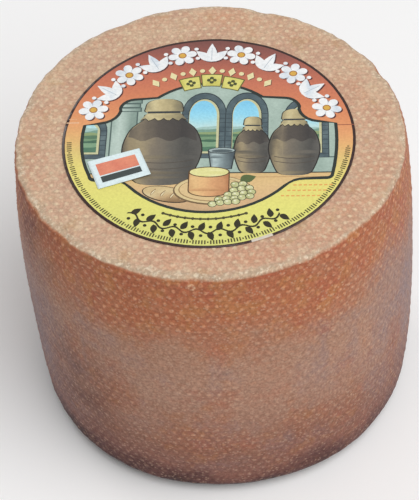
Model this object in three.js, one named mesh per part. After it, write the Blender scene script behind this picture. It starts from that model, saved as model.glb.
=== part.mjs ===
// A small drum-shaped mountain cheese with a washed rind. A round paper label is glued to its top,
// and a small rectangular paper sticker is stuck on the label.
// Millimetres, +Z up. The origin is the middle of the cheese's box on the underside, and the front
// of the label faces -Y. The cheese is one solid piece: it has no separate rind or core.
import * as THREE from 'three';

// ---- driving dimensions ----
const HEIGHT = 92; // underside to top face
const TOP_RADIUS = 51.5; // at the top edge
const BELLY_RADIUS = 54.2; // the widest place of the bulging side
const BELLY_HEIGHT = 41; // where that place is
const FOOT_RADIUS = 52.4; // where the side would meet the underside without its round edge
const TOP_EDGE = 1.5; // edge radius round the top face
const FOOT_EDGE = 6.8; // edge radius round the underside, from standing on a board
const LEAN = new THREE.Vector2(1.5, 0.6); // the middle of the underside, seen from the top's middle
const OVAL = 0.3; // how much longer the left-right radius is, and how much shorter the front-back one
const THREE_SIDED = 0.15; // a faint three-sided waviness of the plan
const THREE_SIDED_TURN = 1.0; // radians

const LABEL_RADIUS = 38.8;
const LABEL_SHIFT = new THREE.Vector2(-0.2, -2.0); // the label's middle, seen from the top's middle
const STICKER_WIDTH = 14.3;
const STICKER_DEPTH = 10.5;
const STICKER_SHIFT = new THREE.Vector2(-23.9, -11.7); // its middle, seen from the top's middle
const STICKER_TURN = THREE.MathUtils.degToRad(16.5);
const PAPER = 0.125; // thickness of both papers

const AROUND = 80; // facets around the cheese
const SIDE_STEPS = 14; // facets up the side
const EDGE_STEPS = 6; // facets across the foot's round edge
const LABEL_AROUND = 96;

// ---- materials ----
const rind = new THREE.MeshStandardMaterial({ color: '#b0714f', roughness: 0.75, metalness: 0 });
const labelPaper = new THREE.MeshStandardMaterial({ color: '#e3b163', roughness: 0.5, metalness: 0 });
const stickerPaper = new THREE.MeshStandardMaterial({ color: '#e8eef2', roughness: 0.45, metalness: 0 });

const piece = (name, geometry, material) => {
  const mesh = new THREE.Mesh(geometry, material);
  mesh.name = name;
  return mesh;
};

// ---- cheese: a lathe of its bulging profile, then pushed a little oval and leaning ----
// The side is the parabola through the foot, the belly and the top edge.
const sideRadius = (z) => {
  const atFoot = (FOOT_RADIUS * (z - BELLY_HEIGHT) * (z - HEIGHT)) / (BELLY_HEIGHT * HEIGHT);
  const atBelly = (BELLY_RADIUS * z * (z - HEIGHT)) / (BELLY_HEIGHT * (BELLY_HEIGHT - HEIGHT));
  const atTop = (TOP_RADIUS * z * (z - BELLY_HEIGHT)) / (HEIGHT * (HEIGHT - BELLY_HEIGHT));
  return atFoot + atBelly + atTop;
};

// From the middle of the underside, round the foot, up the side, over the edge and in to the top.
const profile = () => {
  const points = [new THREE.Vector2(0, 0)];
  const footCentre = sideRadius(FOOT_EDGE) - FOOT_EDGE;
  for (let i = 0; i <= EDGE_STEPS; i++) {
    const turn = (i / EDGE_STEPS) * (Math.PI / 2);
    points.push(
      new THREE.Vector2(footCentre + FOOT_EDGE * Math.sin(turn), FOOT_EDGE * (1 - Math.cos(turn))),
    );
  }
  const sideTop = HEIGHT - TOP_EDGE;
  for (let i = 1; i <= SIDE_STEPS; i++) {
    const z = THREE.MathUtils.lerp(FOOT_EDGE, sideTop, i / SIDE_STEPS);
    points.push(new THREE.Vector2(sideRadius(z), z));
  }
  const edgeCentre = sideRadius(sideTop) - TOP_EDGE;
  for (const turn of [Math.PI / 6, Math.PI / 3, Math.PI / 2]) {
    points.push(
      new THREE.Vector2(edgeCentre + TOP_EDGE * Math.cos(turn), sideTop + TOP_EDGE * Math.sin(turn)),
    );
  }
  points.push(new THREE.Vector2(0, HEIGHT));
  return points;
};

const cheeseGeometry = () => {
  const geometry = new THREE.LatheGeometry(profile(), AROUND);
  geometry.rotateX(Math.PI / 2);
  const position = geometry.attributes.position;
  const at = new THREE.Vector3();
  for (let i = 0; i < position.count; i++) {
    at.fromBufferAttribute(position, i);
    const angle = Math.atan2(at.y, at.x);
    const plan =
      OVAL * Math.cos(2 * angle) + THREE_SIDED * Math.cos(3 * angle + THREE_SIDED_TURN);
    const grow = 1 + plan / TOP_RADIUS;
    const lean = 1 - at.z / HEIGHT;
    position.setXY(i, at.x * grow + LEAN.x * lean, at.y * grow + LEAN.y * lean);
  }
  geometry.computeVertexNormals();
  return geometry;
};

const cheese = piece('cheese_wheel', cheeseGeometry(), rind);

// ---- paper label: a round sheet lying flat on the top face ----
const labelGeometry = new THREE.CylinderGeometry(LABEL_RADIUS, LABEL_RADIUS, PAPER, LABEL_AROUND);
labelGeometry.rotateX(Math.PI / 2);
const label = piece('paper_label', labelGeometry, labelPaper);
label.position.set(LABEL_SHIFT.x, LABEL_SHIFT.y, HEIGHT + PAPER / 2);

// ---- sticker: a small rectangle stuck on the label, a little askew ----
const stickerGeometry = new THREE.BoxGeometry(STICKER_WIDTH, STICKER_DEPTH, PAPER);
const sticker = piece('paper_sticker', stickerGeometry, stickerPaper);
sticker.position.set(STICKER_SHIFT.x, STICKER_SHIFT.y, HEIGHT + PAPER * 1.5);
sticker.rotation.z = STICKER_TURN;

// ---- the whole, moved so that the origin is the middle of its box on the underside ----
const whole = new THREE.Group();
whole.add(cheese, label, sticker);
const middle = new THREE.Box3().setFromObject(cheese).getCenter(new THREE.Vector3());
whole.position.set(-middle.x, -middle.y, 0);

export default whole;
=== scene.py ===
"""A small drum-shaped mountain cheese with a washed rind, a round paper label and a sticker.

Metres, +Z up. The rind is one spun and sculpted mesh with the dot imprint of its mould raised on
it. Each paper is one sheet whose printed shapes are faces of their own ink.
"""

import math

import bmesh
import bpy
from mathutils import Matrix, Vector, noise
from mathutils.geometry import delaunay_2d_cdt


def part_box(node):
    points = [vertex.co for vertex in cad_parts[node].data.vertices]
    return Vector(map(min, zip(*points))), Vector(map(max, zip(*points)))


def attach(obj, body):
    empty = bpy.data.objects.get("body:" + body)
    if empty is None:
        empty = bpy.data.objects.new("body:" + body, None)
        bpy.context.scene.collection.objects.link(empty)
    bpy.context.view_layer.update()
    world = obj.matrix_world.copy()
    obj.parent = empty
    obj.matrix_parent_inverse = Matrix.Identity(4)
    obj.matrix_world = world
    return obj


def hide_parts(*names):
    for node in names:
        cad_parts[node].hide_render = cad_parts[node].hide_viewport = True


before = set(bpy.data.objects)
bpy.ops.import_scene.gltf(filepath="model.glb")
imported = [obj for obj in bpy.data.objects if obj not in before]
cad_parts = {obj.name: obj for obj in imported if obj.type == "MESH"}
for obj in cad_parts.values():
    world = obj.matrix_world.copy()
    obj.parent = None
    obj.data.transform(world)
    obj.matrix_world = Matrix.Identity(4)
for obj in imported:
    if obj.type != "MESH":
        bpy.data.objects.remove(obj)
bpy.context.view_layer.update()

MM = 0.001

# ---- the cheese's own sizes, in millimetres ----
TOP_RADIUS = 51.5
BELLY_RADIUS = 54.2
BELLY_HEIGHT = 41.0
FOOT_RADIUS = 52.4
TOP_EDGE = 1.5
FOOT_EDGE = 6.8
LEAN = Vector((1.5, 0.6))
OVAL = 0.3
THREE_SIDED = 0.15
THREE_SIDED_TURN = 1.0

# ---- the mould's imprint: round dots in staggered rows ----
DOTS_ROUND = 124
DOT_ROW = 2.3
DOT_SPACING = 2 * DOT_ROW / math.sqrt(3)
DOT_RADIUS = 0.85
DOT_HEIGHT = 0.22
DOT_WANDER = 0.35

# ---- the papers ----
LABEL_SHIFT = Vector((-0.2, -2.0))
LABEL_TURN = math.radians(-3.3)
STICKER_TURN = math.radians(16.5)
PAPER = 0.12
LABEL_LIFT = 0.17


def box_mm(node):
    low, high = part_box(node)
    return low / MM, high / MM


_, cheese_high = box_mm("cheese_wheel")
label_low, label_high = box_mm("paper_label")
sticker_low, sticker_high = box_mm("paper_sticker")
HEIGHT = cheese_high.z
SIDE_TOP = HEIGHT - TOP_EDGE
LABEL_RADIUS = (label_high.x - label_low.x) / 2
label_centre = ((label_low + label_high) / 2).xy
sticker_centre = ((sticker_low + sticker_high) / 2).xy
top_centre = label_centre - LABEL_SHIFT


# ---- small tools ----
def ink(text):
    """An sRGB hex colour as linear red, green, blue and full alpha."""
    parts = (int(text[i : i + 2], 16) / 255 for i in (1, 3, 5))
    linear = (p / 12.92 if p <= 0.04045 else ((p + 0.055) / 1.055) ** 2.4 for p in parts)
    return (*linear, 1.0)


def smoothstep(low, high, value):
    t = min(max((value - low) / (high - low), 0.0), 1.0)
    return t * t * (3 - 2 * t)


def lump(place, size, seed):
    """Smooth unevenness between about -1 and 1, with bumps about as wide as size."""
    return 1.6 * noise.noise(Vector(place) / size + Vector((seed, seed * 0.37, -seed)))


def finished(name, bm, material, node):
    """Makes a mesh in millimetres the finished piece that stands for a CAD node."""
    bmesh.ops.scale(bm, vec=(MM, MM, MM), verts=bm.verts)
    mesh = bpy.data.meshes.new(name)
    bm.to_mesh(mesh)
    bm.free()
    piece = bpy.data.objects.new(name, mesh)
    bpy.context.scene.collection.objects.link(piece)
    mesh.materials.append(material)
    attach(piece, "root")
    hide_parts(node)
    return piece


def add(tree, kind, inputs=None, stops=None, **settings):
    """Adds a shader node with its settings, its links and values, and a ramp's colour stops."""
    made = tree.nodes.new(kind)
    for name, value in settings.items():
        setattr(made, name, value)
    if stops:
        ramp = made.color_ramp.elements
        while len(ramp) < len(stops):
            ramp.new(1.0)
        for element, (at, colour) in zip(ramp, stops):
            element.position = at
            element.color = ink(colour)
    for socket, value in (inputs or {}).items():
        if isinstance(value, bpy.types.NodeSocket):
            tree.links.new(value, made.inputs[socket])
        else:
            made.inputs[socket].default_value = value
    return made


def new_material(name):
    material = bpy.data.materials.new(name)
    material.use_nodes = True
    material.node_tree.nodes.clear()
    return material, material.node_tree


# ---- the cheese's shape ----
def side_radius(z):
    """The side is the parabola through the foot, the belly and the top edge."""
    foot = FOOT_RADIUS * (z - BELLY_HEIGHT) * (z - HEIGHT) / (BELLY_HEIGHT * HEIGHT)
    belly = BELLY_RADIUS * z * (z - HEIGHT) / (BELLY_HEIGHT * (BELLY_HEIGHT - HEIGHT))
    top = TOP_RADIUS * z * (z - BELLY_HEIGHT) / (HEIGHT * (HEIGHT - BELLY_HEIGHT))
    return foot + belly + top


def faces_up(place):
    return place.z > HEIGHT - 0.3 * TOP_EDGE


def faces_down(place):
    return place.z < 0.3 * FOOT_EDGE


def spread(start, end, step):
    """Values from start to end, both included, in even steps of about the given size."""
    count = max(1, round(abs(end - start) / step))
    return [start + (end - start) * i / count for i in range(count + 1)]


def cheese_profile():
    """Radius and height, from the middle of the underside out, up and in to the top's middle."""
    foot_centre = side_radius(FOOT_EDGE) - FOOT_EDGE
    edge_centre = side_radius(SIDE_TOP) - TOP_EDGE
    hidden = LABEL_RADIUS - LABEL_SHIFT.length - 1.0
    points = [(r, 0.0) for r in spread(0.0, foot_centre - 8.0, 5.0)]
    points += [(r, 0.0) for r in spread(foot_centre - 8.0, foot_centre, 1.0)[1:]]
    for turn in spread(0.0, math.pi / 2, math.pi / 2 / 11)[1:]:
        points.append(
            (foot_centre + FOOT_EDGE * math.sin(turn), FOOT_EDGE * (1 - math.cos(turn)))
        )
    points += [(side_radius(z), z) for z in spread(FOOT_EDGE, SIDE_TOP, DOT_ROW / 3)[1:]]
    for turn in spread(0.0, math.pi / 2, math.pi / 10)[1:]:
        points.append(
            (edge_centre + TOP_EDGE * math.cos(turn), SIDE_TOP + TOP_EDGE * math.sin(turn))
        )
    points += [(r, HEIGHT) for r in spread(edge_centre, hidden, 0.55)[1:]]
    points += [(r, HEIGHT) for r in spread(hidden, 0.0, 6.0)[1:]]
    return points


def dot(u, v):
    """How high the imprint stands at a place on the rind: 1 on a dot, 0 between the dots."""
    nearest = 9.0
    for shift in (0.0, 0.5):
        across = u / DOT_SPACING - shift
        along = v / (2 * DOT_ROW) - shift
        gap = Vector(
            (
                (across - round(across)) * DOT_SPACING,
                (along - round(along)) * 2 * DOT_ROW,
            )
        )
        nearest = min(nearest, gap.length)
    return smoothstep(DOT_RADIUS, 0.0, nearest)


def wander(place):
    """The rows of dots aren't quite straight, because the curd shrank and shifted."""
    return DOT_WANDER * Vector((lump(place, 11, 3.1), lump(place, 11, 7.7)))


def top_imprint(place):
    return place.xy + wander(place)


def side_imprint(place, near_angle):
    """Rows round the side. near_angle keeps a face that crosses the back in one piece."""
    angle = math.atan2(place.y, place.x)
    angle += 2 * math.pi * round((near_angle - angle) / (2 * math.pi))
    return Vector((angle / (2 * math.pi) * DOTS_ROUND * DOT_SPACING, place.z)) + wander(place)


# ---- how the rind is finished from place to place ----
# Soft patches: degrees round from the front with the right positive, millimetres in from the top
# edge with the side negative, half width in degrees, half height in millimetres, and amount.
ORANGE_SMEAR = (
    (-24, -18, 14, 6, 0.25), (3, -25, 12, 6, 0.4), (32, -22, 15, 6, 0.3), (-6, -64, 11, 13, 0.75),
    (27, -68, 12, 13, 0.6), (60, -62, 9, 14, 0.5), (-38, -52, 13, 13, 0.5),
    (-56, -3, 12, 4, 0.35), (-60, -16, 12, 8, -0.35), (51, -20, 8, 8, -0.3), (72, -14, 12, 9, 0.3),
    (105, -52, 16, 15, 0.6), (128, -22, 15, 7, 0.45), (160, -66, 14, 12, 0.55),
    (-175, -20, 16, 7, 0.4), (-148, -48, 15, 13, 0.5), (-112, -68, 14, 11, 0.5),
    (-100, -14, 14, 8, -0.4), (146, -12, 12, 7, -0.35),
    (38, 6, 26, 5, 0.5), (0, 7, 20, 4, 0.25), (85, 8, 22, 6, 0.25), (172, 6, 25, 5, 0.35),
)
# grey bloom dust; the two broad flank patches left and right of the front are also painted sheen
BLOOM_DUST_AND_SHEEN = (
    (-74, -50, 20, 30, 0.65), (70, -44, 18, 30, 0.5), (-5, -77, 9, 4, 0.2), (14, -69, 6, 6, 0.15),
    (-42, -11, 1.2, 6, 0.22), (-43, -40, 1.2, 9, 0.22), (30, -33, 1.2, 10, 0.25),
    (57, -20, 6, 6, 0.2), (128, -44, 24, 22, 0.25), (-165, -40, 26, 25, 0.25),
    (-122, -44, 18, 22, 0.2), (178, -74, 12, 6, 0.2),
)
# maroon wet stains; the patches on the left side and along the foot are partly painted shade
STAINS_AND_PAINTED_SHADE = (
    (-48, -58, 14, 19, 0.5), (-66, -14, 13, 12, 0.4), (-34, -82, 22, 6, 0.25),
    (60, -86, 30, 6, 0.5), (-72, -82, 12, 8, 0.3), (100, -80, 20, 8, 0.3),
    (150, -52, 10, 14, 0.3), (-135, -76, 18, 9, 0.35), (78, -84, 12, 8, 0.55),
    (-66, -3, 12, 6, 0.35), (-74, -58, 9, 20, 0.25),
)
# The crust's extra width in millimetres, and how far it has crumbled down over the edge.
CRUST_WIDTH = ((-50, 2, 34, 20, 1.0), (-5, 2, 20, 20, 0.6), (52, 2, 22, 20, -0.6))
CRUST_OVER = (
    (14, 2, 22, 20, 0.5), (66, 2, 13, 20, 1.4), (-110, 2, 14, 20, 0.8), (150, 2, 16, 20, 0.9),
)
# The imprint is worn here.
WORN = ((-62, -18, 20, 24, 0.4), (120, -30, 25, 22, 0.25), (-150, -22, 20, 20, 0.25))


def in_from_edge(place):
    """Millimetres in from the top edge on the top face, and minus those below it on the side."""
    if place.z < SIDE_TOP:
        return place.z - HEIGHT
    return TOP_RADIUS - place.xy.length - (HEIGHT - place.z)


def patches(place, spots):
    round_from_front = math.degrees(math.atan2(place.x, -place.y))
    inward = in_from_edge(place)
    total = 0.0
    for at, depth, wide, tall, amount in spots:
        away = ((round_from_front - at + 180) % 360 - 180) / wide
        up = (inward - depth) / tall
        if abs(away) < 2.5 and abs(up) < 2.5:
            total += amount * math.exp(-away * away - up * up)
    return total


def orange_smear(place):
    """The damp smear is strong for two fingers' breadth under the top edge and patchy below."""
    inward = in_from_edge(place)
    unevenly = smoothstep(-20, 30, place.y) * 7 * lump(place, 22, 2.7)
    band = 0.9 * smoothstep(-33, -9, inward + unevenly) if inward < 0 else 0.1
    uneven = 0.25 * lump(place, 12, 4.4) + 0.16 * lump(place, 4, 6.6)
    return min(max(band + patches(place, ORANGE_SMEAR) + uneven, 0.0), 1.0)


def bloom_dust_and_sheen(place):
    """Dry mould dust, on the belly only, and painted sheen: its broad patches on the flanks left
    and right of the front stand for a grazing sheen as well as dust.
    """
    inward = in_from_edge(place)
    belly = smoothstep(-10, -32, inward) * smoothstep(-86, -60, inward)
    uneven = 0.18 * lump(place, 15, 8.8) + 0.12 * lump(place, 5, 1.9)
    return min(max(belly * (0.08 + uneven) + patches(place, BLOOM_DUST_AND_SHEEN), 0.0), 1.0)


def stain_and_painted_shade(place):
    """Maroon stains where the rind stayed wet, and painted shade: the patches on the left side
    and along the foot are partly shade painted into the colour.
    """
    inward = in_from_edge(place)
    spots = patches(place, STAINS_AND_PAINTED_SHADE)
    return min(max(spots * (1 + 0.6 * lump(place, 7, 3.6)), 0.0), 0.8) if inward < -0.5 else 0.0


def pale_crust(place):
    """A crumbly cream line runs round just inside the top edge, of uneven width."""
    inward = in_from_edge(place)
    up_on_top = Vector((place.x, place.y, HEIGHT))
    wide = 1.4 + 0.6 * lump(place, 14, 5.5) + 0.4 * lump(place, 4, 2.7)
    wide += patches(up_on_top, CRUST_WIDTH)
    over = patches(up_on_top, CRUST_OVER)
    begins = smoothstep(-0.6 - over, 0.2 - over, inward)
    return begins * (1 - smoothstep(wide - 0.8, wide + 0.6, inward))


def clear_dots(place):
    """How well the imprint has kept: clear on the top face and the upper side, worn lower down."""
    inward = in_from_edge(place)
    kept = 0.95
    if inward < 0:
        kept = 0.42 + 0.13 * smoothstep(-88, -66, inward) + 0.35 * smoothstep(-34, -18, inward)
        kept -= patches(place, WORN)
    uneven = 0.3 * lump(place, 10, 5.3) + 0.15 * lump(place, 4, 3.9)
    return min(max(kept + uneven, 0.05), 1.0)


def rim_nicks(angle):
    """Depth of the small broken places along the top edge: angle, width and depth of each."""
    nicks = ((-152, 3.2, 0.9), (-139, 3.4, 0.9), (-96, 2.2, 0.4), (-47, 2.6, 0.5), (24, 3.0, 0.5),
             (71, 2.4, 0.6), (118, 3.4, 0.5), (163, 2.4, 0.5))
    total = 0.0
    for at, wide, deep in nicks:
        away = (math.degrees(angle) - at + 180) % 360 - 180
        total += deep * math.exp(-((away / wide) ** 2))
    return total


def sculpt(place, clear):
    """Where a point of the plain drum ends up on the real, uneven cheese."""
    angle = math.atan2(place.y, place.x)
    radius = place.xy.length
    outward = Vector((math.cos(angle), math.sin(angle), 0.0))
    on_top, on_foot = faces_up(place), faces_down(place)
    edge_middle = Vector((TOP_RADIUS - 0.9, HEIGHT - 0.4))
    rim = 1 - smoothstep(0.4, 2.6, (Vector((radius, place.z)) - edge_middle).length)
    covered = 1 - smoothstep(
        LABEL_RADIUS - 1.2, LABEL_RADIUS + 0.6, (place.xy - LABEL_SHIFT).length
    )
    # the mould's dots, worn away along the edges
    if on_top:
        raised = dot(*top_imprint(place)) * (1 - covered)
        way = Vector((0, 0, 1))
    elif on_foot:
        raised = dot(*place.xy) - 1
        way = Vector((0, 0, -1))
    else:
        raised = dot(*side_imprint(place, angle))
        way = outward
    moved = place + way * (DOT_HEIGHT * clear * (1 - 0.85 * rim) * raised)
    # broad dents and fine unevenness of the rind
    if on_top:
        edge = smoothstep(LABEL_RADIUS, TOP_RADIUS, radius)
        moved.z += (0.16 * lump(place, 16, 2.2) + 0.07 * lump(place, 3.2, 4.2)) * edge
        moved.z -= 0.5 * rim_nicks(angle) * rim
    elif not on_foot:
        moved += outward * (0.35 * lump(place, 30, 1.3) + 0.1 * lump(place, 5, 8.4))
        below_edge = smoothstep(HEIGHT, SIDE_TOP - 3, place.z)
        moved += outward * (0.06 * lump(place, 2.2, 7.3) * below_edge)
    # the crumbly top edge
    crumb = 0.3 * lump(place, 6, 6.1) + 0.2 * lump(place, 2.4, 9.9) - rim_nicks(angle)
    moved += outward * (crumb * rim)
    # oval plan and lean
    plan = OVAL * math.cos(2 * angle) + THREE_SIDED * math.cos(3 * angle + THREE_SIDED_TURN)
    grow = 1 + plan / TOP_RADIUS
    lean = (1 - place.z / HEIGHT) * LEAN + top_centre
    moved.x = moved.x * grow + lean.x
    moved.y = moved.y * grow + lean.y
    moved.z = max(moved.z, 0.0)
    return moved


def cheese_mesh():
    bm = bmesh.new()
    points = [bm.verts.new((r, 0.0, z)) for r, z in cheese_profile()]
    lines = [bm.edges.new(pair) for pair in zip(points, points[1:])]
    bmesh.ops.spin(
        bm, geom=points + lines, cent=(0, 0, 0), axis=(0, 0, 1), dvec=(0, 0, 0),
        angle=2 * math.pi, steps=DOTS_ROUND * 4, use_merge=True, use_duplicate=False,
    )
    bmesh.ops.remove_doubles(bm, verts=bm.verts, dist=1e-4)
    bmesh.ops.recalc_face_normals(bm, faces=bm.faces)

    imprint = bm.loops.layers.uv.new("imprint")
    for face in bm.faces:
        face.smooth = True
        middle = face.calc_center_median()
        flat = faces_up(middle) or faces_down(middle)
        near_angle = math.atan2(middle.y, middle.x)
        for loop in face.loops:
            place = loop.vert.co
            loop[imprint].uv = top_imprint(place) if flat else side_imprint(place, near_angle)

    top_face = bm.verts.layers.float.new("top_face")
    smear = bm.verts.layers.float.new("orange_smear")
    dust_and_sheen = bm.verts.layers.float.new("bloom_dust_and_sheen")
    stain_and_shade = bm.verts.layers.float.new("stain_and_painted_shade")
    crust = bm.verts.layers.float.new("pale_crust")
    clear = bm.verts.layers.float.new("clear_dots")
    for vert in bm.verts:
        place = vert.co.copy()
        vert[top_face] = smoothstep(-0.9, 0.3, in_from_edge(place))
        vert[smear] = orange_smear(place)
        vert[dust_and_sheen] = bloom_dust_and_sheen(place)
        vert[stain_and_shade] = stain_and_painted_shade(place)
        vert[crust] = pale_crust(place)
        vert[clear] = clear_dots(place)
        vert.co = sculpt(place, vert[clear])
    return bm


def rind_material():
    """Washed, smear-ripened rind. It gives the eye a matt, leathery skin: an orange smear that is
    strongest under the top edge, dry grey-mauve bloom on the belly that on the flanks left and
    right of the front is also painted sheen, maroon stains that are partly painted shade on the
    left side, a maroon foot that is partly damp rind and partly painted shade where it meets the
    floor, a pale dry top with a cream crust round it, and paler dots where the mould's holes raised
    it."""
    material, tree = new_material("washed smear-ripened rind")
    place = add(tree, "ShaderNodeTexCoord").outputs["Object"]
    imprint = add(tree, "ShaderNodeUVMap", uv_map="imprint").outputs["UV"]
    names = ("top_face", "orange_smear", "bloom_dust_and_sheen", "stain_and_painted_shade", "pale_crust", "clear_dots")
    top, smear, dust_and_sheen, stain_and_shade, crust, clear = (
        add(tree, "ShaderNodeAttribute", attribute_name=name).outputs["Fac"] for name in names
    )
    height = add(tree, "ShaderNodeSeparateXYZ", {0: place}).outputs["Z"]

    def cloud(size_mm, detail=2.0, rough=0.5):
        """Soft cloudy noise between 0 and 1, with clouds of about the given size."""
        return add(
            tree, "ShaderNodeTexNoise",
            {"Vector": place, "Scale": 1 / (size_mm * MM), "Detail": detail, "Roughness": rough},
        ).outputs["Fac"]

    def maths(operation, first, second=0.0, clamp=False):
        return add(
            tree, "ShaderNodeMath", {0: first, 1: second}, operation=operation, use_clamp=clamp
        ).outputs[0]

    def share(value, low, high, to_low=0.0, to_high=1.0):
        """Maps low..high smoothly to to_low..to_high."""
        return add(
            tree, "ShaderNodeMapRange",
            {"Value": value, "From Min": low, "From Max": high, "To Min": to_low,
             "To Max": to_high},
            interpolation_type="SMOOTHSTEP",
        ).outputs["Result"]

    def mix(amount, first, second, blend="MIX"):
        first = ink(first) if isinstance(first, str) else first
        second = ink(second) if isinstance(second, str) else second
        made = add(tree, "ShaderNodeMix", data_type="RGBA", blend_type=blend)
        for index, value in ((0, amount), (6, first), (7, second)):
            if isinstance(value, bpy.types.NodeSocket):
                tree.links.new(value, made.inputs[index])
            else:
                made.inputs[index].default_value = value
        return made.outputs[2]

    # distance to the nearest dot, in millimetres, on two interleaved grids
    cell = (DOT_SPACING, 2 * DOT_ROW, 1.0)
    distances = []
    for shift in (0.5, 0.0):
        steps = (
            ("DIVIDE", cell), ("ADD", (shift, shift, 0.0)), ("FRACTION", None),
            ("SUBTRACT", (0.5, 0.5, 0.0)), ("MULTIPLY", (cell[0], cell[1], 0.0)),
        )
        value = imprint
        for operation, other in steps:
            inputs = {0: value} if other is None else {0: value, 1: other}
            value = add(tree, "ShaderNodeVectorMath", inputs, operation=operation).outputs[0]
        length = add(tree, "ShaderNodeVectorMath", {0: value}, operation="LENGTH")
        distances.append(length.outputs["Value"])
    nearest = maths("MINIMUM", distances[0], distances[1])
    ragged = maths("ADD", nearest, share(cloud(0.8, 3.0), 0.3, 0.7, -0.12, 0.12))
    unlike = share(cloud(2.4, 1.0), 0.35, 0.6, 0.5, 1.0)
    dots = maths("MULTIPLY", share(ragged, 0.84, 0.25), maths("MULTIPLY", clear, unlike))

    # the side, by height; the darkening towards the foot is partly damp rind, partly painted shade
    warp = share(cloud(16.0, 3.0, 0.55), 0.25, 0.75, -4.0 * MM, 4.0 * MM)
    level = maths("DIVIDE", maths("ADD", height, warp), HEIGHT * MM, clamp=True)
    dry = add(
        tree, "ShaderNodeValToRGB", {0: level},
        stops=((0.0, "#2E1B1A"), (0.04, "#422825"), (0.08, "#5F3B35"), (0.14, "#85594C"),
               (0.22, "#8A604F"), (0.34, "#9B715D"), (0.52, "#A7806B"), (1.0, "#A5765A")),
    ).outputs["Color"]
    damp = add(
        tree, "ShaderNodeValToRGB", {0: level},
        stops=((0.0, "#331A18"), (0.08, "#61362D"), (0.14, "#8B5742"), (0.32, "#965E45"),
               (0.62, "#A3644A"), (0.84, "#AA6745"), (1.0, "#A66142")),
    ).outputs["Color"]
    patchy = maths("ADD", smear, share(cloud(2.6, 3.0, 0.6), 0.3, 0.7, -0.16, 0.16), clamp=True)
    side = mix(patchy, dry, damp)
    red = share(cloud(8.0, 2.0), 0.52, 0.7, 0.0, 0.4)
    side = mix(maths("MULTIPLY", red, patchy), side, "#A3543F")
    ochre = share(cloud(5.0, 2.0), 0.5, 0.64, 0.0, 0.45)
    side = mix(maths("MULTIPLY", ochre, patchy), side, "#B07A48")
    dust_and_sheen_share = maths("ADD", dust_and_sheen, share(cloud(1.8, 3.0, 0.65), 0.3, 0.7, -0.12, 0.12))
    dust_and_sheen_share = maths("MULTIPLY", dust_and_sheen_share, share(dust_and_sheen, 0.0, 0.2), clamp=True)
    undamped = share(patchy, 0.0, 1.0, 1.0, 0.4)
    # grey bloom dust, which on the flanks left and right of the front is also painted sheen
    side = mix(maths("MULTIPLY", dust_and_sheen_share, undamped), side, "#827276")
    # maroon stains, partly painted shade on the left side and along the foot
    side = mix(stain_and_shade, side, "#5C3B36")
    side = mix(maths("MULTIPLY", dots, 0.52), side, mix(patchy, "#C29F88", "#DDA57E"))

    # the top
    tan = mix(share(cloud(9.0, 3.0), 0.35, 0.65), "#C19C84", "#C9A98E")
    tan = mix(maths("MULTIPLY", patchy, 0.6), tan, "#CB8C6A")
    tan = mix(share(cloud(6.0, 3.0, 0.6), 0.55, 0.7, 0.0, 0.45), tan, "#B39068")
    tan = mix(share(cloud(2.2, 3.0, 0.65), 0.52, 0.68, 0.0, 0.4), tan, "#DCC7A8")
    tan = mix(maths("MULTIPLY", dots, 0.66), tan, "#E2CCAA")
    colour = mix(top, side, tan)
    crumbs = maths("MULTIPLY", crust, share(cloud(1.6, 3.0, 0.6), 0.3, 0.6, 0.3, 0.9))
    colour = mix(crumbs, colour, mix(share(cloud(1.1), 0.5, 0.66), "#BAA38A", "#DFCFB6"))

    # a small, broken pale ring just under the top edge at the front, where a drop dried
    drop_height = HEIGHT - 2.6
    way = math.radians(-96.7)
    drop_middle = Vector((math.cos(way), math.sin(way))) * side_radius(drop_height) + top_centre
    drop = add(
        tree, "ShaderNodeVectorMath", {0: place, 1: Vector((*drop_middle, drop_height)) * MM},
        operation="DISTANCE",
    )
    off_ring = maths("ABSOLUTE", maths("SUBTRACT", drop.outputs["Value"], 0.8 * MM))
    broken = share(cloud(0.5, 1.0), 0.42, 0.56, 0.15, 0.6)
    ring = maths("MULTIPLY", share(off_ring, 0.45 * MM, 0.05 * MM), broken)
    colour = mix(ring, colour, "#DDBF9C")

    # fine grain, drawn a little coarser than the real half-millimetre so that it shows
    grain = share(cloud(0.75, 3.0, 0.65), 0.3, 0.7, 0.8, 1.2)
    shade = add(tree, "ShaderNodeCombineColor", {0: grain, 1: grain, 2: grain}).outputs[0]
    colour = mix(share(top, 0.0, 1.0, 1.0, 0.75), colour, mix(1.0, colour, shade, "MULTIPLY"))
    # single pale grains of dried smear
    spread_grains = add(
        tree, "ShaderNodeTexVoronoi", {"Vector": place, "Scale": 1 / (1.25 * MM)}
    ).outputs["Distance"]
    specks = share(spread_grains, 0.34, 0.12, 0.0, 0.4)
    colour = mix(specks, colour, mix(top, "#C9A78F", "#DCC4A2"))

    relief = maths("ADD", maths("MULTIPLY", dots, 0.2), maths("MULTIPLY", grain, 0.18))
    bump = add(
        tree, "ShaderNodeBump", {"Height": relief, "Distance": 1.0 * MM, "Strength": 0.7}
    ).outputs["Normal"]
    shader = add(
        tree, "ShaderNodeBsdfPrincipled",
        {"Base Color": colour, "Roughness": share(grain, 0.8, 1.2, 0.78, 0.62),
         "Normal": bump, "IOR": 1.45, "Specular IOR Level": 0.28, "Sheen Weight": 0.08,
         "Sheen Roughness": 0.45, "Sheen Tint": ink("#A7A3B8")},
    )
    add(tree, "ShaderNodeOutputMaterial", {"Surface": shader.outputs[0]})
    return material


# ---- outlines for print, in millimetres on the paper: u to the right, v up the picture ----
def arc(radius, start, end, steps=12, centre=(0.0, 0.0)):
    turns = (math.radians(start + (end - start) * i / steps) for i in range(steps + 1))
    return [Vector(centre) + radius * Vector((math.cos(t), math.sin(t))) for t in turns]


def circle(radius, steps=96):
    return arc(radius, 0, 360 - 360 / steps, steps - 1)


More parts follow.
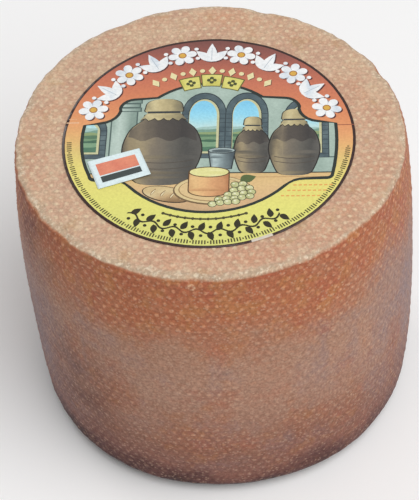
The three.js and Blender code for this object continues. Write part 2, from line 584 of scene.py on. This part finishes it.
def band(inner, outer, start, end, steps=6):
    """A piece of a ring."""
    return arc(outer, start, end, steps) + arc(inner, end, start, steps)


def oval(centre, across, up, turn=0.0, steps=20):
    return shifted([Vector((across * p.x, up * p.y)) for p in circle(1.0, steps)], turn, centre)


def shifted(outline, turn, move):
    """The outline turned by degrees about the paper's middle, then moved."""
    spin = Matrix.Rotation(math.radians(turn), 2)
    return [spin @ Vector(p) + Vector(move) for p in outline]


def on_ring(outline, radius, angle):
    """An upright outline put on a ring at an angle, with its top pointing outwards."""
    return shifted(shifted(outline, 0, (0, radius)), angle - 90, (0, 0))


def rounded(points, steps=5):
    """A closed curve running smoothly through a few points."""
    outline = []
    count = len(points)
    for i in range(count):
        a, b, c, d = (Vector(points[(i + k - 1) % count]) for k in range(4))
        for j in range(steps):
            t = j / steps
            outline.append(
                0.5 * (2 * b + (c - a) * t + (2 * a - 5 * b + 4 * c - d) * t * t
                       + (3 * b - a - 3 * c + d) * t ** 3)
            )
    return outline


def leaf(length, wide, bend=0.0, steps=7):
    """A pointed leaf growing up from the middle, curved sideways by bend."""
    ways = [i / steps for i in range(steps + 1)]
    half = [wide / 2 * math.sin(math.pi * t ** 0.8) for t in ways]
    spine = [Vector((bend * t * t, length * t)) for t in ways]
    right = [p + Vector((h, 0)) for p, h in zip(spine, half)]
    left = [p - Vector((h, 0)) for p, h in zip(spine, half)]
    return right + left[-2:0:-1]


def blossom(radius, petals, turn=0.0, steps=8, deep=0.5):
    """A flower as one outline with rounded petals."""
    outline = []
    for i in range(petals * steps):
        t = i / steps
        reach = radius * (1 - deep + deep * abs(math.sin(math.pi * t)) ** 0.6)
        way = math.radians(turn) + 2 * math.pi * t / petals
        outline.append(Vector((reach * math.cos(way), reach * math.sin(way))))
    return outline


def arch(left, right, sill, spring, peak, steps=14):
    """A round-headed window opening."""
    middle, half = (left + right) / 2, (right - left) / 2
    rise = peak - spring
    head = [Vector((middle + half * p.x, spring + rise * p.y)) for p in arc(1, 180, 0, steps)]
    return [Vector((left, sill))] + head + [Vector((right, sill))]


def block(left, right, low, high):
    return [Vector(p) for p in ((left, low), (right, low), (right, high), (left, high))]


def wavy_field(left, right, low, high, seed):
    """Land with a rolling skyline."""
    skyline = [
        Vector((u, high + 0.5 * lump((u, 0, 0), 3.5, seed))) for u in spread(right, left, 1.0)
    ]
    return [Vector((left, low)), Vector((right, low))] + skyline


def window_outline(grow=0.0):
    """The picture's frame: an arched top with stepped shoulders, and a bowl-shaped foot."""

    def half(side):
        outline = arc(21 + grow, 90, 48, 8)
        outline += arc(4.1 + grow, 85, 12, 5, (20.0, 10.9))
        outline += arc(5.6 - grow, 190, 265, 5, (29.4, 11.6))
        outline += side
        corner = 1.4 + grow
        outline += arc(corner, 0, -90, 4, side[-1] - Vector((corner, 0)))[1:]
        for u, v in ((25.5, -14.9), (23.9, -15.05), (22.5, -15.5), (21.3, -16.3)):
            outline.append(Vector((u, v - grow)))
        return outline + arc(26.6 + grow, -41, -90, 9)

    right = half(arc(70 + grow, 4.4, -11, 6, (-36.2, 0)))
    left = half(arc(33.6 + grow, 9, -23.8, 6))
    return right + [Vector((-p.x, p.y)) for p in reversed(left[1:-1])]


def blended(stops, way):
    """An ink that changes over the paper: way(u, v) gives a number and stops give its colours."""
    colours = [(at, ink(colour)) for at, colour in stops]

    def ink_at(u, v):
        value = min(max(way(u, v), colours[0][0]), colours[-1][0])
        for (start, first), (end, second) in zip(colours, colours[1:]):
            if value <= end:
                part = (value - start) / (end - start)
                return [a + (b - a) * part for a, b in zip(first, second)]

    return ink_at


def cloudy(u, v, size, seed):
    """Brushy unevenness of the painted picture."""
    return lump((u, v * 0.6, 0), size, seed) + 0.5 * lump((u, v, 0), size / 2.6, seed + 4)


# ---- what is printed on the label: ink, outline, and whether only inside the picture ----
GROUND = blended(
    ((-38.0, "#DEDF80"), (-24.0, "#EAE67F"), (-13.0, "#EEE080"), (-7.0, "#E6CC7E"),
     (-2.0, "#EBBC7A"), (3.0, "#EDAA73"), (9.0, "#E59566"), (16.0, "#DA8560"),
     (22.0, "#CE795E"), (28.0, "#B56956"), (33.0, "#985B52"), (38.0, "#7E504A")),
    lambda u, v: v + 0.06 * u,
)


def border_prints():
    yield "#3C2724", circle(LABEL_RADIUS), False
    yield GROUND, circle(LABEL_RADIUS - 0.75), False
    # a place at the front where the edge is rubbed down to bare paper
    yield "#D8CDBE", band(LABEL_RADIUS - 0.9, LABEL_RADIUS, -72, -63.5), False
    # painted highlight (left end) and painted shade (right end) along the crease across the label
    yield "#F3C9A4", block(-38.2, -34.8, 6.1, 6.4), False
    yield "#EFB98F", block(-37.6, -35.4, 7.5, 7.7), False
    yield "#9C5B45", block(33.9, 38.5, 4.6, 4.85), False
    # a beaded line round the yellow half
    for i in range(150):
        angle = -178 + i * 1.16
        tall = 0.55 if i % 6 == 5 else 1.3
        yield "#4F4A2A", on_ring(block(-0.19, 0.19, -tall / 2, tall / 2), 36.9, angle), False


GARLAND_STEP = 14.1
GARLAND_PLACES = [160.5 - i * GARLAND_STEP for i in range(11)]
GARLAND_RADIUS = 33.2
VINE_RADIUS = 33.2


def garland_prints():
    """White flowers and leaf sprigs round the upper half, each with a soft dark edge."""
    petal_ink = blended(
        ((-2.5, "#D9E4EE"), (-0.5, "#F4F7F8"), (2.5, "#FFFFFF")),
        lambda u, v: cloudy(u, v, 2.6, 3.3) * 2.5,
    )
    shapes = []
    for i, angle in enumerate(GARLAND_PLACES):
        if i % 2 == 0:
            shapes.append((angle, blossom(4.0, 6, 30)))
            continue
        for turn, bend in ((0, 0.0), (36, -0.9), (-36, 0.9)):
            sprig = leaf(7.4 if turn == 0 else 6.2, 2.9, bend)
            shapes.append((angle, shifted(sprig, turn, (0.0, -3.6))))
    for angle in GARLAND_PLACES[:-1]:
        for out in (-1.9, 1.9):
            shapes.append((angle - GARLAND_STEP / 2, shifted(circle(0.62, 10), 0, (0, out))))
    for angle, outline in shapes:
        edge = shifted(on_ring(outline, GARLAND_RADIUS, angle), 0, (0.36, -0.38))
        yield "#5E3433", edge, False
    for angle, outline in shapes:
        yield petal_ink, on_ring(outline, GARLAND_RADIUS, angle), False
    for i, angle in enumerate(GARLAND_PLACES):
        if i % 2 == 0:
            yield "#A8703A", on_ring(circle(1.15, 14), GARLAND_RADIUS, angle), False
            yield "#E0B150", on_ring(circle(0.85, 14), GARLAND_RADIUS, angle), False
            for turn in range(0, 360, 60):
                crease = shifted(block(1.5, 2.9, -0.07, 0.07), turn + 30, (0, 0))
                yield "#B9C4CE", on_ring(crease, GARLAND_RADIUS, angle), False
        else:
            rib = block(-0.09, 0.09, -2.8, 2.2)
            yield "#B9C4CE", on_ring(rib, GARLAND_RADIUS, angle), False


def inner_border_prints():
    """A row of small cream lozenges and dots under the garland."""
    for i in range(13):
        angle = 125 - i * 5.95
        lozenge = [(0, 1.65), (1.05, 0), (0, -1.65), (-1.05, 0)]
        shape = circle(0.72, 12) if i % 2 else lozenge
        yield "#6F3B36", shifted(on_ring(shape, 26.0, angle), 0, (0.2, -0.2)), False
        yield "#EEE4B0", on_ring(shape, 26.0, angle), False


def picture_prints():
    """A cheese, covered jars and bread on a table in front of arched windows."""
    yield "#2B332F", window_outline(0.45), False
    yield "window", window_outline(-0.45), False
    wall = blended(
        ((-1.4, "#95AB9F"), (0.0, "#AABFB3"), (1.4, "#B8CCC0")),
        lambda u, v: cloudy(u, v, 5, 1.1) + 0.02 * (v - 4),
    )
    yield wall, circle(36, 48), True
    yield "#566A68", block(-35, 35, -7.4, -7.0), True
    yield from column_prints()
    openings = ((-36.5, -27.0, 3.0, 9.0, 1), (-7.4, 4.6, 9.0, 17.4, 2), (4.2, 15.8, 9.0, 17.4, 3),
                (19.4, 31.8, 6.0, 15.0, 4))
    for opening in openings:
        yield from window_prints(*opening)
    # the table
    board = blended(
        ((-27.0, "#C3A47E"), (-23.0, "#DDB789"), (-17.0, "#E6C48C"), (-13.0, "#E2BF86")),
        lambda u, v: v + 1.6 * cloudy(u, v * 3, 6, 2.2),
    )
    yield "#3D3A33", block(-35, 35, -30, -12.5), True
    yield board, block(-35, 35, -30, -12.9), True
    yield "#B58C62", block(-35, 35, -14.35, -14.2), True
    yield from jar_prints(11.6, -12.6, 20.6, 9.4, 1)
    yield from jar_prints(22.6, -13.4, 24.0, 13.2, 2)
    yield from jar_prints(-12.2, -16.6, 31.6, 20.8, 3)
    yield from cup_prints()
    yield from bread_prints()
    yield from small_cheese_prints()


def column_prints():
    """A round column by the left wall, with a moulded top."""
    stone = blended(
        ((-26.0, "#9DB3A8"), (-24.4, "#C4D6CC"), (-21.5, "#A6BAAF"), (-19.6, "#7F968C")),
        lambda u, v: u + 0.8 * cloudy(u * 2, v * 0.4, 4, 5.2),
    )
    yield "#586C67", block(-26.3, -19.1, -7, 10.4), True
    yield stone, block(-25.9, -19.5, -7, 10.4), True
    for low, grow in ((10.2, 0.5), (11.8, 0.2), (13.4, 0.6)):
        yield "#586C67", block(-26.3 - grow, -18.7 + grow, low, low + 1.7), True
        yield stone, block(-25.9 - grow, -19.1 + grow, low + 0.35, low + 1.35), True


def window_prints(left, right, spring, peak, seed):
    """A round-headed opening in a dark stone surround, with hills and sky behind."""
    stones = blended(
        ((-1.3, "#43525A"), (0.2, "#586A70"), (1.3, "#6F8083")),
        lambda u, v: cloudy(u, v, 1.8, 6.1),
    )
    sky = blended(
        ((3.0, "#D6EBE4"), (5.5, "#B4E5EC"), (9.0, "#9BE0F8"), (16.0, "#7CCBF2")),
        lambda u, v: v + 1.1 * cloudy(u, v * 2.5, 4, 9.0),
    )
    yield "#333F45", arch(left, right, -7.4, spring, peak), True
    yield stones, arch(left + 0.25, right - 0.25, -7.2, spring, peak - 0.4), True
    joints = spread(-6.0, spring, 1.7)
    for low in joints:
        for start in (left + 0.3, right - 1.9):
            yield "#3A474E", block(start, start + 1.6, low, low + 0.22), True
    yield "#2F3A3F", arch(left + 1.75, right - 1.75, -5.75, spring - 0.4, peak - 2.3), True
    yield "#CFCEA2", arch(left + 1.95, right - 1.95, -5.6, spring - 0.5, peak - 2.6), True
    yield sky, arch(left + 2.1, right - 2.6, -4.9, spring - 0.6, peak - 3.2), True
    view = (left + 2.1, right - 2.6, -4.9)
    lands = ((4.1, "#A9CBC4"), (3.3, "#7FA392"), (2.3, "#93A878"), (1.5, "#5C7E63"),
             (0.4, "#7B9D79"), (-0.6, "#4B705A"), (-1.6, "#84A886"), (-3.2, "#567F66"))
    for i, (high, colour) in enumerate(lands):
        yield colour, wavy_field(*view, high, seed * 3.7 + i), True


def jar_prints(middle, foot, tall, wide, seed):
    """A round-bellied clay jar with a cloth tied over its mouth, lit from the left."""
    half = wide / 2

    def outline(shape, grow=0.0):
        down = [(middle + half * w + grow, foot + tall * t) for w, t in shape]
        up = [(middle - half * w - grow, foot + tall * t) for w, t in reversed(shape)]
        return rounded(down + up, 4)

    def across(u, v):
        return (u - middle) / half + 0.13 * cloudy(u, v, wide / 4, seed * 2.3)

    clay = blended(
        ((-1.0, "#645E51"), (-0.82, "#998A6D"), (-0.58, "#A99A7A"), (-0.25, "#827869"),
         (0.25, "#66635C"), (0.7, "#4F4E4B"), (1.0, "#63615C")),
        across,
    )
    glaze = blended(
        ((-1.0, "#4E4A45"), (-0.6, "#857966"), (-0.2, "#5C554E"), (0.6, "#413E3D"),
         (1.0, "#57524E")),
        across,
    )
    cloth = blended(
        ((-1.0, "#A79C78"), (-0.45, "#D9CB9C"), (0.0, "#C9B98B"), (0.5, "#A69A75"),
         (1.0, "#7D7762")),
        lambda u, v: ((u - middle) / (0.55 * half)) + 0.3 * cloudy(u * 2, v, 2, seed * 1.7),
    )
    body = ((0.46, 0.0), (0.78, 0.12), (1.0, 0.38), (0.84, 0.62), (0.50, 0.75), (0.40, 0.82))
    yield "#2E2A27", outline(body, 0.35), True
    yield clay, outline(body), True
    # a darker poured glaze on the shoulder, with a wavy lower edge
    low = [
        (middle + half * w, foot + tall * (0.52 + 0.025 * math.sin(w * 9 + seed)))
        for w in spread(-0.88, 0.88, 0.11)
    ]
    shoulder = ((0.84, 0.62), (0.50, 0.75), (0.40, 0.80))
    high = [(middle + half * w, foot + tall * t) for w, t in shoulder]
    glazed = low + high + [(2 * middle - u, v) for u, v in reversed(high)]
    yield glaze, glazed, True
    for level in (0.20, 0.27):
        ring = [(middle + half * w * 0.8, foot + tall * (level - 0.035 * (1 - w * w)))
                for w in spread(-1, 1, 0.2)]
        yield "#534B43", ring + [(u, v + 0.22) for u, v in reversed(ring)], True
    # the cloth cover, its frill and its cord
    frill = [
        (middle + half * 0.62 * w, foot + tall * (0.755 + 0.018 * math.cos(w * 16)))
        for w in spread(-1, 1, 0.125)
    ]
    neck_top = foot + tall * 0.845
    frill += [(middle + half * 0.40, neck_top), (middle - half * 0.40, neck_top)]
    yield "#33302C", [(u, v - 0.3) for u, v in frill], True
    yield cloth, frill, True
    dome = ((0.40, 0.835), (0.47, 0.90), (0.40, 0.965), (0.16, 1.0))
    yield "#33302C", outline(dome, 0.28), True
    yield cloth, outline(dome), True
    reach = half * 0.42
    cord = block(middle - reach, middle + reach, foot + tall * 0.828, foot + tall * 0.852)
    yield "#3B3F42", cord, True


def cup_prints():
    """A small pewter cup behind the cheese."""
    pewter = blended(
        ((0.6, "#6F7D80"), (1.8, "#C5D8D8"), (3.0, "#93A4A6"), (6.6, "#4E5A60")),
        lambda u, v: u + 0.5 * cloudy(u, v, 2, 4.0),
    )
    yield "#2E3436", [(0.8, -11.4), (6.4, -11.4), (7.3, -4.6), (-0.1, -4.6)], True
    yield pewter, [(1.1, -11.2), (6.1, -11.2), (7.0, -4.7), (0.2, -4.7)], True
    yield "#2E3436", oval((3.6, -4.6), 3.75, 1.15), True
    yield "#A8B9B8", oval((3.6, -4.55), 3.4, 0.9), True
    yield "#59666A", oval((3.7, -4.75), 2.8, 0.6), True


def bread_prints():
    """A small scored loaf in front of the big jar."""
    crumb = blended(
        ((-2.4, "#9A7B57"), (-0.8, "#CDAE80"), (0.8, "#E0CC9D"), (2.2, "#D8BF8D")),
        lambda u, v: (v + 20.2) - 0.25 * (u + 10.5) + 0.5 * cloudy(u, v, 2.2, 7.0),
    )
    yield "#4B3C2E", oval((-10.3, -20.3), 6.6, 2.75, -14, 28), True
    yield crumb, oval((-10.3, -20.2), 6.3, 2.45, -14, 28), True
    for i in range(4):
        cut = leaf(2.7, 0.75, 0.3)
        u, v = -14.4 + i * 2.5, -20.5 - i * 0.62
        yield "#8D6B48", shifted(cut, -24, (u, v)), True
        yield "#EBDDB4", shifted(leaf(2.3, 0.4, 0.3), -24, (u + 0.1, v + 0.1)), True


def small_cheese_prints():
    """A small round cheese on a board, with pale grapes beside it."""
    side = blended(
        ((-5.2, "#C99063"), (-3.6, "#EBC58A"), (-1.0, "#EDBE86"), (2.4, "#E0A877"),
         (5.6, "#B97F57")),
        lambda u, v: u + 0.9 * cloudy(u, v, 2.4, 5.5),
    )
    top = blended(
        ((-1.2, "#D6D286"), (0.0, "#E9E49B"), (1.2, "#F1EDB2")),
        lambda u, v: cloudy(u, v, 3, 2.9),
    )
    grape = blended(
        ((-1.2, "#A9AE72"), (0.1, "#D0D29A"), (1.2, "#E8E8BC")),
        lambda u, v: cloudy(u, v, 1.4, 8.1),
    )
    yield "#7A6245", oval((1.6, -18.9), 10.3, 5.2, 0, 32), True
    yield "#E2CC98", oval((1.6, -18.7), 9.9, 4.85, 0, 32), True
    yield "#A98C62", oval((1.6, -18.7), 8.9, 4.2, 0, 32), True
    yield "#E4C793", oval((1.6, -18.6), 8.6, 3.95, 0, 32), True
    yield "#5C4228", block(-4.9, 5.9, -19.0, -12.4), True
    yield "#5C4228", oval((0.5, -19.1), 5.4, 2.2, 0, 28), True
    yield side, block(-4.6, 5.6, -19.0, -12.4), True
    yield side, oval((0.5, -19.0), 5.1, 2.0, 0, 28), True
    yield "#5C4228", oval((0.5, -12.4), 5.4, 1.95, 0, 28), True
    yield top, oval((0.5, -12.4), 5.05, 1.65, 0, 28), True
    yield "#5B6B3F", shifted(leaf(4.4, 3.0, 0.6), -62, (8.6, -15.6)), True
    for row, (first, low, count) in enumerate(((7.3, -16.6, 2), (7.0, -18.4, 3), (5.6, -20.2, 4),
                                               (3.2, -21.9, 5), (1.6, -23.4, 4))):
        for i in range(count):
            u = first + 2.0 * i
            v = low + 0.25 * (i - 1) + 0.3 * lump((u, row, 0), 1.3, 4.9)
            yield "#4C4D36", oval((u, v), 1.22, 1.12, 0, 14), True
            yield grape, oval((u, v), 1.02, 0.92, 0, 14), True
            yield "#F2F1D6", oval((u - 0.3, v + 0.3), 0.3, 0.22, 0, 8), True


def plaque_prints():
    """Three yellow tiles over the picture, each with a small dark flower."""
    tile_ink = blended(
        ((-1.2, "#CFC862"), (1.2, "#EAE486")), lambda u, v: cloudy(u, v, 2.5, 3.8)
    )
    for i in range(3):
        start = 111.5 - i * 14.9
        lift = 0.5 if i == 1 else 0.0
        yield "#6B6636", band(19.3 + lift, 24.2 + lift, start, start - 14.5, 4), False
        yield tile_ink, band(19.65 + lift, 23.85 + lift, start - 0.8, start - 13.6, 4), False
        middle = start - 7.25
        yield "#4F5330", on_ring(blossom(1.35, 4, 45), 21.75 + lift, middle), False
        yield tile_ink, on_ring(circle(0.4, 8), 21.75 + lift, middle), False


def lower_prints():
    """A dark vine, a thin row of beads and faint orange lines on the yellow half."""
    dark = "#332F1C"

    def stem(angle, out):
        return on_ring([(0, out)], VINE_RADIUS + 0.75 * math.sin(angle * 0.62), angle)[0]

    vine = range(-127, -54)
    upper = [stem(angle, 0.3) for angle in vine]
    lower = [stem(angle, -0.3) for angle in vine]
    yield dark, upper + lower[::-1], False
    for i in range(18):
        angle = -125.5 + i * 4.1
        side = 1 if i % 2 else -1
        shape = shifted(leaf(3.2, 1.8, 0.5 * side), 32 if side > 0 else 148, (0, 0.2 * side))
        yield dark, on_ring(shape, VINE_RADIUS, angle), False
        berry = shifted(circle(0.5, 10), 0, (-0.6, -1.45 * side))
        yield dark, on_ring(berry, VINE_RADIUS, angle), False
    for i in range(23):
        dash = block(-0.55, 0.55, -0.3, 0.3) if i % 2 else circle(0.5, 8)
        yield "#4E4A2C", on_ring(dash, 29.0, -112 + i * 1.95), False
    for i in range(3):
        for j in range(8):
            u = 22.8 - i * 1.6 + j * 1.32
            low = -17.2 - i * 1.9
            yield "#EBAA5E", shifted(block(-0.42, 0.42, -0.22, 0.22), 5, (u, low)), False


def label_prints():
    yield from border_prints()
    yield from garland_prints()
    yield from inner_border_prints()
    yield from picture_prints()
    yield from plaque_prints()
    yield from lower_prints()


STICKER_HALF = Vector((7.15, 5.25))


def sticker_prints():
    """A white sticker with a plain orange field over a plain dark one."""
    orange = blended(
        ((-1.2, "#E2826A"), (1.2, "#F09C7C")), lambda u, v: cloudy(u, v, 3, 1.4)
    )
    yield "#E6F6F8", block(-STICKER_HALF.x, STICKER_HALF.x, -STICKER_HALF.y, STICKER_HALF.y), False
    yield orange, block(-5.4, 5.4, -0.9, 3.5), False
    yield "#424B4B", block(-5.4, 5.4, -3.5, -1.3), False


# ---- a printed sheet of paper ----
JOIN = 1e-4  # millimetres: points closer than this are one point
SLIVER = 0.02  # millimetres: faces thinner than this are taken out


def anticlockwise(outline):
    points = [Vector(p) for p in outline]
    turns = sum(a.x * b.y - a.y * b.x for a, b in zip(points, points[1:] + points[:1]))
    return points if turns > 0 else points[::-1]


def printed_sheet(prints, half_width, step, shape, to_world):
    """One closed sheet whose faces follow the printed outlines, each with its own ink."""
    prints = list(prints)
    points, faces = [], []
    for _, outline, _ in prints:
        outline = anticlockwise(outline)
        faces.append(list(range(len(points), len(points) + len(outline))))
        points.extend(outline)
    reach = spread(-half_width, half_width, step)
    points.extend(Vector((u, v)) for u in reach for v in reach)
    flat, _, triangles, _, _, sources = delaunay_2d_cdt(points, [], faces, 1, JOIN, True)

    window = next((i for i, p in enumerate(prints) if p[0] == "window"), None)
    bm = bmesh.new()
    colour = bm.loops.layers.float_color.new("ink")
    verts = [bm.verts.new((p.x, p.y, 0.0)) for p in flat]
    for triangle, inside in zip(triangles, sources):
        shown = [i for i in inside if i != window and (window in inside or not prints[i][2])]
        if not shown:
            continue
        face = bm.faces.new([verts[i] for i in triangle])
        face.smooth = True
        used = prints[max(shown)][0]
        for loop in face.loops:
            spot = loop.vert.co
            loop[colour] = used(spot.x, spot.y) if callable(used) else ink(used)
    bmesh.ops.delete(bm, geom=[v for v in bm.verts if not v.link_faces], context="VERTS")
    bmesh.ops.dissolve_degenerate(bm, edges=bm.edges[:], dist=SLIVER)
    for vert in bm.verts:
        vert.co.z = shape(vert.co.x, vert.co.y)
    bmesh.ops.recalc_face_normals(bm, faces=bm.faces)
    if sum(f.normal.z for f in bm.faces) < 0:
        bmesh.ops.reverse_faces(bm, faces=bm.faces)
    # the paper's thickness, straight down, so that no thin face is pushed sideways
    lower = bmesh.ops.extrude_face_region(bm, geom=bm.faces[:], use_keep_orig=True)["geom"]
    lower = [part for part in lower if isinstance(part, bmesh.types.BMVert)]
    bmesh.ops.translate(bm, vec=(0, 0, -PAPER), verts=lower)
    bmesh.ops.recalc_face_normals(bm, faces=bm.faces)
    bmesh.ops.transform(bm, matrix=to_world, verts=bm.verts)
    return bm


def label_shape(u, v):
    """The label follows the top's gentle unevenness, with one pressed crease across it."""
    place = Vector((u, v, 0))
    edge = smoothstep(20, LABEL_RADIUS, place.length)
    crease = -0.1 * math.exp(-(((v - 5.2 + 0.02 * u) / 0.5) ** 2)) * smoothstep(22, 34, abs(u))
    return 0.08 * lump(place, 13, 12.5) + 0.07 * edge * lump(place, 6, 2.9) + crease


def sticker_shape(u, v):
    """The sticker's lower right corner has lifted a little."""
    lift = smoothstep(2.0, 12.4, u - v)
    return 0.5 * lift + 0.02 * lump((u, v, 0), 4, 1.1)


def paper_material(name):
    """Coated paper, offset printed and handled. It gives the eye soft, slightly greyed ink with a
    satin surface that catches the light in broad patches, a faint tooth, and flecks where the ink
    is thin."""
    material, tree = new_material(name)
    place = add(tree, "ShaderNodeTexCoord").outputs["Object"]
    colour = add(tree, "ShaderNodeAttribute", attribute_name="ink").outputs["Color"]
    fleck = add(
        tree, "ShaderNodeTexNoise", {"Vector": place, "Scale": 1 / (0.7 * MM), "Detail": 3.0}
    ).outputs["Fac"]
    strength = add(
        tree, "ShaderNodeMapRange",
        {"Value": fleck, "From Min": 0.3, "From Max": 0.7, "To Min": 0.85, "To Max": 0.98},
    ).outputs["Result"]
    scaled = add(
        tree, "ShaderNodeVectorMath", {0: colour, "Scale": strength}, operation="SCALE"
    ).outputs[0]
    rubbed = add(
        tree, "ShaderNodeTexNoise", {"Vector": place, "Scale": 1 / (14 * MM), "Detail": 2.0}
    ).outputs["Fac"]
    gloss = add(
        tree, "ShaderNodeMapRange",
        {"Value": rubbed, "From Min": 0.35, "From Max": 0.65, "To Min": 0.38, "To Max": 0.5},
    ).outputs["Result"]
    tooth = add(
        tree, "ShaderNodeTexNoise", {"Vector": place, "Scale": 1 / (0.35 * MM), "Detail": 2.0}
    ).outputs["Fac"]
    bump = add(
        tree, "ShaderNodeBump", {"Height": tooth, "Distance": 0.03 * MM, "Strength": 0.5}
    ).outputs["Normal"]
    shader = add(
        tree, "ShaderNodeBsdfPrincipled",
        {"Base Color": scaled, "Roughness": gloss, "Normal": bump, "IOR": 1.48},
    )
    add(tree, "ShaderNodeOutputMaterial", {"Surface": shader.outputs[0]})
    return material


# ---- stage: plain pale floor, soft studio light, camera ----
def floor():
    bm = bmesh.new()
    bmesh.ops.create_grid(bm, x_segments=1, y_segments=1, size=3.0)
    mesh = bpy.data.meshes.new("floor")
    bm.to_mesh(mesh)
    bm.free()
    made = bpy.data.objects.new("floor", mesh)
    bpy.context.scene.collection.objects.link(made)
    material, tree = new_material("matt painted studio floor")
    shader = add(
        tree, "ShaderNodeBsdfPrincipled", {"Base Color": ink("#F8F8F8"), "Roughness": 0.9}
    )
    add(tree, "ShaderNodeOutputMaterial", {"Surface": shader.outputs[0]})
    mesh.materials.append(material)


def soft_light(name, place, size, power, target=(0.0, 0.0, 0.05)):
    data = bpy.data.lights.new(name, "AREA")
    data.shape = "DISK"
    data.size = size
    data.energy = power
    lamp = bpy.data.objects.new(name, data)
    lamp.location = place
    way = Vector(target) - Vector(place)
    lamp.rotation_euler = way.to_track_quat("-Z", "Y").to_euler()
    lamp.visible_camera = False
    bpy.context.scene.collection.objects.link(lamp)


def studio():
    world = bpy.data.worlds.new("studio")
    world.use_nodes = True
    world.node_tree.nodes.clear()
    glow = add(world.node_tree, "ShaderNodeBackground", {"Color": ink("#FFFFFF"), "Strength": 0.42})
    add(world.node_tree, "ShaderNodeOutputWorld", {"Surface": glow.outputs[0]})
    bpy.context.scene.world = world
    bpy.context.scene.view_settings.view_transform = "Standard"
    soft_light("key", (0.48, -0.45, 1.1), size=1.2, power=12.0)
    soft_light("back", (-0.75, 1.0, 0.4), size=0.7, power=4.0)


CAMERA_PLACE = Vector((3.9, -366.2, 455.9))  # millimetres from under the top's middle
CAMERA_DOWN = 48.24  # degrees below the horizon
CAMERA_YAW = 0.59
CAMERA_ROLL = 2.79
LENS = 140.07  # millimetres, on a 36 mm long side


def camera():
    data = bpy.data.cameras.new("camera")
    data.sensor_width = 36.0
    data.lens = LENS
    made = bpy.data.objects.new("camera", data)
    turn = (
        Matrix.Rotation(math.radians(90 - CAMERA_DOWN), 4, "X")
        @ Matrix.Rotation(math.radians(CAMERA_YAW), 4, "Y")
        @ Matrix.Rotation(math.radians(-CAMERA_ROLL), 4, "Z")
    )
    stand = (CAMERA_PLACE + Vector((top_centre.x, top_centre.y, 0.0))) * MM
    made.matrix_world = Matrix.Translation(stand) @ turn
    bpy.context.scene.collection.objects.link(made)
    bpy.context.scene.camera = made


# ---- the pieces ----
finished("cheese", cheese_mesh(), rind_material(), "cheese_wheel")

label_height = HEIGHT + LABEL_LIFT + PAPER
label_place = Matrix.Translation((*label_centre, label_height)) @ Matrix.Rotation(
    LABEL_TURN, 4, "Z"
)
label = printed_sheet(label_prints(), LABEL_RADIUS, 1.5, label_shape, label_place)
finished(
    "label", label, paper_material("coated label paper"), "paper_label"
)
sticker_height = label_height + PAPER + 0.1
sticker_place = Matrix.Translation((*sticker_centre, sticker_height)) @ Matrix.Rotation(
    STICKER_TURN, 4, "Z"
)
sticker = printed_sheet(sticker_prints(), STICKER_HALF.x, 1.0, sticker_shape, sticker_place)
finished(
    "sticker", sticker, paper_material("coated sticker paper"),
    "paper_sticker",
)

floor()
studio()
camera()
